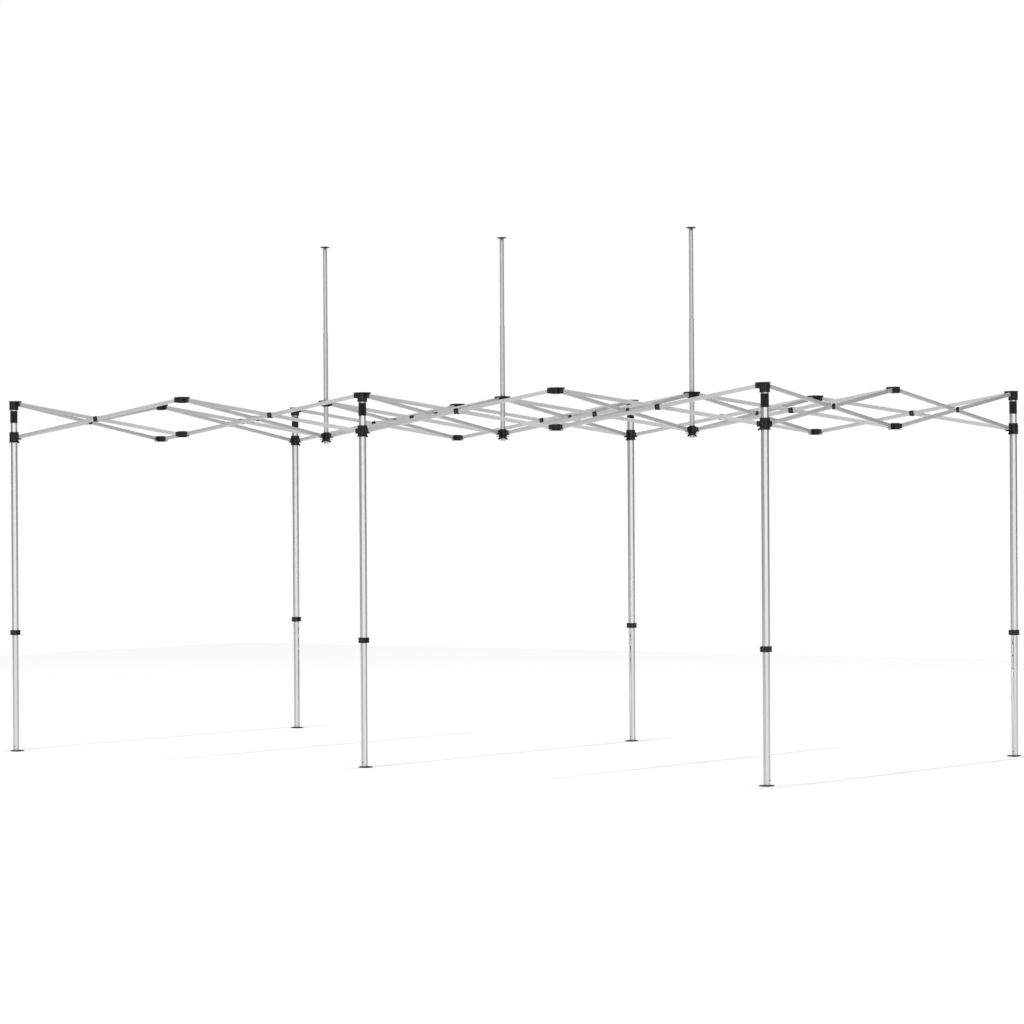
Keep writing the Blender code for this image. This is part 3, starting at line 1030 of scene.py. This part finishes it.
class CANOPY_OT_stage(bpy.types.Operator):
    """Camera, floor and soft studio light"""

    bl_idname = "canopy.stage"
    bl_label = "Studio"

    def execute(self, context):
        scene = context.scene
        camera = bpy.data.objects.new("camera", bpy.data.cameras.new("camera"))
        scene.collection.objects.link(camera)
        camera.data.lens = LENS
        camera.data.sensor_width = SENSOR
        camera.data.clip_end = 400
        turn, rise, roll = math.radians(-36.08), math.radians(-0.29), math.radians(-0.35)
        ahead = Vector((math.sin(turn) * math.cos(rise), math.cos(turn) * math.cos(rise), math.sin(rise)))
        right = Vector((math.cos(turn), -math.sin(turn), 0))
        up = right.cross(ahead)
        right, up = right * math.cos(roll) + up * math.sin(roll), up * math.cos(roll) - right * math.sin(roll)
        aim = Matrix((right, up, -ahead)).transposed().to_4x4()
        camera.matrix_world = Matrix.Translation(CAMERA_PLACE) @ aim
        scene.camera = camera

        material, nodes, links, shader = new_material("Studio floor")
        place = nodes.new("ShaderNodeTexCoord")
        mottle = nodes.new("ShaderNodeTexNoise")
        mottle.inputs["Scale"].default_value = 0.4
        links.new(place.outputs["Object"], mottle.inputs["Vector"])
        tones = nodes.new("ShaderNodeMix")
        tones.data_type = "RGBA"
        floor = tuple(scene.canopy_colours.floor)
        tones.inputs["A"].default_value = (*[c * 0.985 for c in floor], 1)
        tones.inputs["B"].default_value = (*floor, 1)
        links.new(mottle.outputs["Fac"], tones.inputs["Factor"])
        links.new(tones.outputs["Result"], shader.inputs["Base Color"])
        shader.inputs["Roughness"].default_value = 0.9
        sheet = Shape()
        half = 14
        corners = ((-half, -half), (half, -half), (half, half), (-half, half))
        sheet.rings([[(x, y, z) for x, y in corners] for z in (-0.012, -0.002)])
        data = sheet.mesh("floor", [material])
        ground = bpy.data.objects.new("floor", data)
        scene.collection.objects.link(ground)

        world = bpy.data.worlds.new("studio")
        scene.world = world
        world.use_nodes = True
        nodes, links = world.node_tree.nodes, world.node_tree.links
        back = nodes["Background"]
        # White to look at. As light it is brightest behind the camera and dimmer to both sides.
        place = nodes.new("ShaderNodeTexCoord")
        towards = nodes.new("ShaderNodeVectorMath")
        towards.operation = "DOT_PRODUCT"
        towards.inputs[1].default_value = (-math.sin(turn), -math.cos(turn), 0)
        links.new(place.outputs["Generated"], towards.inputs[0])
        swell = nodes.new("ShaderNodeMapRange")
        swell.interpolation_type = "SMOOTHSTEP"
        swell.inputs["From Min"].default_value = 0.45
        swell.inputs["From Max"].default_value = 0.95
        swell.inputs["To Min"].default_value = 0.16
        swell.inputs["To Max"].default_value = 1.38
        links.new(towards.outputs["Value"], swell.inputs["Value"])
        rays = nodes.new("ShaderNodeLightPath")
        strength = nodes.new("ShaderNodeMix")
        strength.inputs["B"].default_value = 1.0
        links.new(rays.outputs["Is Camera Ray"], strength.inputs["Factor"])
        links.new(swell.outputs["Result"], strength.inputs["A"])
        back.inputs["Color"].default_value = (1, 1, 1, 1)
        links.new(strength.outputs["Result"], back.inputs["Strength"])

        # Long narrow strips high overhead give the bars soft shadows on the floor.
        lamps = []
        for name, across, aside, power in (
            ("middle strip", 0.9, 0.0, 16800),
            ("left strip", 2.0, -9.0, 4800),
            ("right strip", 2.0, 9.0, 4800),
        ):
            strip = bpy.data.lights.new(name, "AREA")
            strip.shape = "RECTANGLE"
            strip.size, strip.size_y = across, STRIP_LENGTH
            strip.energy = power
            lamps.append((strip, (aside, 0, STRIP_HEIGHT)))
        front = bpy.data.lights.new("front light", "SUN")
        front.energy = 0.7
        front.angle = math.radians(35)
        lamps.append((front, (-4, -16, 20)))
        for lamp, where in lamps:
            holder = bpy.data.objects.new(lamp.name, lamp)
            scene.collection.objects.link(holder)
            holder.location = where
            holder.rotation_mode = "QUATERNION"
            holder.rotation_quaternion = (-Vector(where)).to_track_quat("-Z", "Y")
        scene.view_settings.view_transform = "Standard"
        return {"FINISHED"}


PIECE_OPERATORS = (
    CANOPY_OT_upper_legs,
    CANOPY_OT_lower_legs,
    CANOPY_OT_leg_fittings,
    CANOPY_OT_connectors,
    CANOPY_OT_scissor_bars,
    CANOPY_OT_peak_poles,
    CANOPY_OT_stage,
)


class CANOPY_PT_panel(bpy.types.Panel):
    """Sizes, colours and build steps of the canopy frame"""

    bl_idname = "CANOPY_PT_panel"
    bl_label = "Canopy frame"
    bl_space_type = "VIEW_3D"
    bl_region_type = "UI"
    bl_category = "Canopy"

    def draw(self, context):
        for group in (context.scene.canopy_sizes, context.scene.canopy_colours):
            for name in group.__annotations__:
                self.layout.prop(group, name)
        for operator in PIECE_OPERATORS:
            self.layout.operator(operator.bl_idname)


CLASSES = (CanopySizes, CanopyColours, *PIECE_OPERATORS, CANOPY_PT_panel)


def register():
    for kind in CLASSES:
        bpy.utils.register_class(kind)
    bpy.types.Scene.canopy_sizes = bpy.props.PointerProperty(type=CanopySizes)
    bpy.types.Scene.canopy_colours = bpy.props.PointerProperty(type=CanopyColours)


def unregister():
    del bpy.types.Scene.canopy_colours
    del bpy.types.Scene.canopy_sizes
    for kind in reversed(CLASSES):
        bpy.utils.unregister_class(kind)


def main():
    register()
    for operator in PIECE_OPERATORS:
        section, name = operator.bl_idname.split(".")
        getattr(getattr(bpy.ops, section), name)()


if __name__ == "__main__":
    main()
